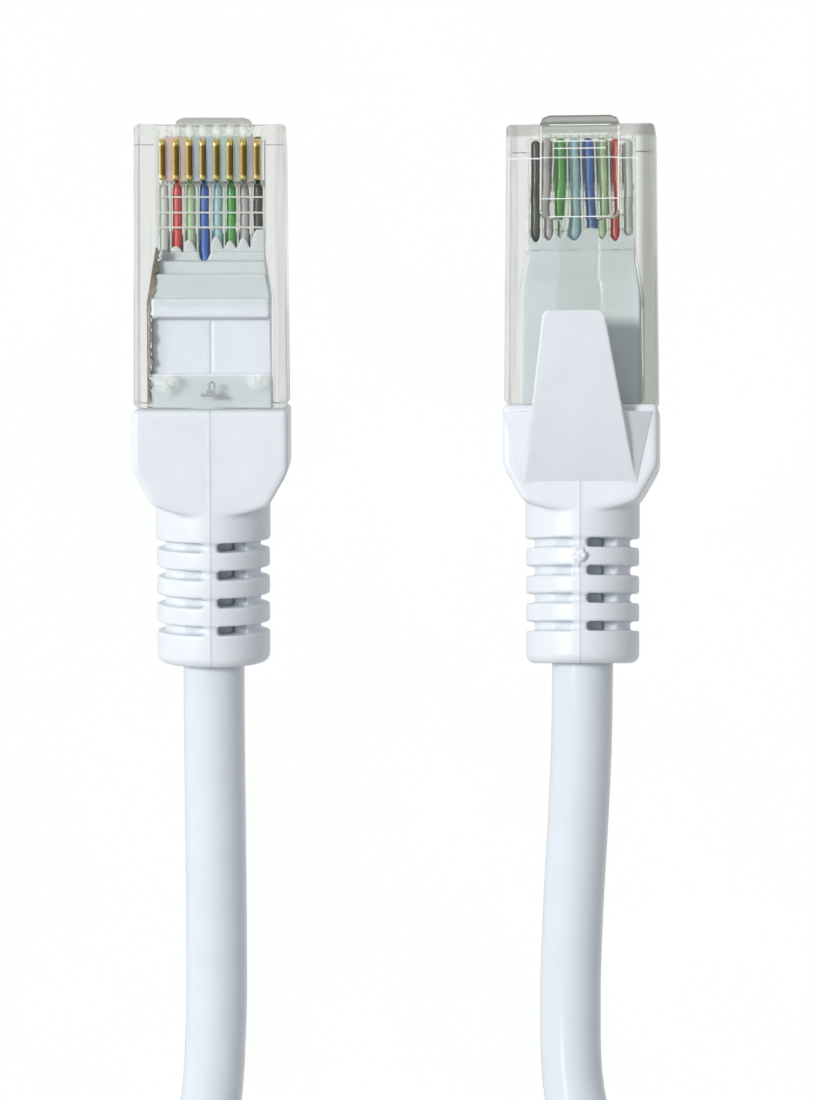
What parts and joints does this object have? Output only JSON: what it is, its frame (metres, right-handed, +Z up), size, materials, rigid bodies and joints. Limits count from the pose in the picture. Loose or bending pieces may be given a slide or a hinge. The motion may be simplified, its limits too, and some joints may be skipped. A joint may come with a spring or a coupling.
{
  "type": "ethernet patch cable",
  "caption": "Round white ethernet patch cable with a clear modular plug and a snagless boot on each end, gold contacts, and its spare length tied in a hank.",
  "frame": {"origin": "on the surface the cable lies on, below the middle of the pair of plugs", "axes": "+Y along the plugs from the cable to their noses, +Z up, +X from plug A (contacts up) to plug B (latch up)"},
  "size_m": [0.0517, 0.1745, 0.0119],
  "materials": {
    "clear_polycarbonate": "clear gloss",
    "white_pvc": "satin",
    "white_jacket": "soft gloss",
    "gold_contact": "polished gold plate",
    "black_tie": "matte",
    "wire_orange_white": "satin",
    "wire_red": "satin",
    "wire_green_white": "satin",
    "wire_blue": "satin",
    "wire_blue_white": "satin",
    "wire_green": "satin",
    "wire_brown_white": "satin",
    "wire_dark_brown": "satin"
  },
  "bodies": {
    "root": {"housing_a": "clear_polycarbonate", "boot_a": "white_pvc", "inner_mould_a": "white_pvc", "load_bar_a": "clear_polycarbonate", "contact_1_a": "gold_contact", "contact_2_a": "gold_contact", "contact_3_a": "gold_contact", "contact_4_a": "gold_contact", "contact_5_a": "gold_contact", "contact_6_a": "gold_contact", "contact_7_a": "gold_contact", "contact_8_a": "gold_contact", "wire_1_a": "wire_orange_white", "wire_2_a": "wire_red", "wire_3_a": "wire_green_white", "wire_4_a": "wire_blue", "wire_5_a": "wire_blue_white", "wire_6_a": "wire_green", "wire_7_a": "wire_brown_white", "wire_8_a": "wire_dark_brown", "housing_b": "clear_polycarbonate", "boot_b": "white_pvc", "inner_mould_b": "white_pvc", "load_bar_b": "clear_polycarbonate", "contact_1_b": "gold_contact", "contact_2_b": "gold_contact", "contact_3_b": "gold_contact", "contact_4_b": "gold_contact", "contact_5_b": "gold_contact", "contact_6_b": "gold_contact", "contact_7_b": "gold_contact", "contact_8_b": "gold_contact", "wire_1_b": "wire_orange_white", "wire_2_b": "wire_red", "wire_3_b": "wire_green_white", "wire_4_b": "wire_blue", "wire_5_b": "wire_blue_white", "wire_6_b": "wire_green", "wire_7_b": "wire_brown_white", "wire_8_b": "wire_dark_brown", "cable_a": "white_jacket", "cable_b": "white_jacket", "cable_hank": "white_jacket", "tie_left": "black_tie", "tie_right": "black_tie"},
    "tongue_a": {"boot_tongue_a": "white_pvc"},
    "latch_a": {"latch_a": "clear_polycarbonate"},
    "tongue_b": {"boot_tongue_b": "white_pvc"},
    "latch_b": {"latch_b": "clear_polycarbonate"}
  },
  "joints": [
    {"name": "tongue_press_a", "type": "hinge", "parent": "root", "child": "tongue_a", "pos_m": [-0.01436, -0.00692, 0.00181], "axis": [1, 0, 0], "range_deg": [0, 7.2], "stiffness_Nm_per_rad": 0.06},
    {"name": "latch_press_a", "type": "hinge", "parent": "root", "child": "latch_a", "pos_m": [-0.01436, 0.02062, 0.00475], "axis": [-1, 0, 0], "range_deg": [0, 6.05], "stiffness_Nm_per_rad": 0.03},
    {"name": "tongue_press_b", "type": "hinge", "parent": "root", "child": "tongue_b", "pos_m": [0.0137, -0.00728, 0.00894], "axis": [-0.9962, -0.0024, -0.0871], "range_deg": [0, 7.2], "stiffness_Nm_per_rad": 0.06},
    {"name": "latch_press_b", "type": "hinge", "parent": "root", "child": "latch_b", "pos_m": [0.0137, 0.02041, 0.00817], "axis": [0.9962, 0.0024, 0.0871], "range_deg": [0, 6.05], "stiffness_Nm_per_rad": 0.03}
  ],
  "couplings": [
    {"joint": "latch_press_a", "follows": "tongue_press_a", "ratio": 0.8333},
    {"joint": "latch_press_b", "follows": "tongue_press_b", "ratio": 0.8333}
  ]
}
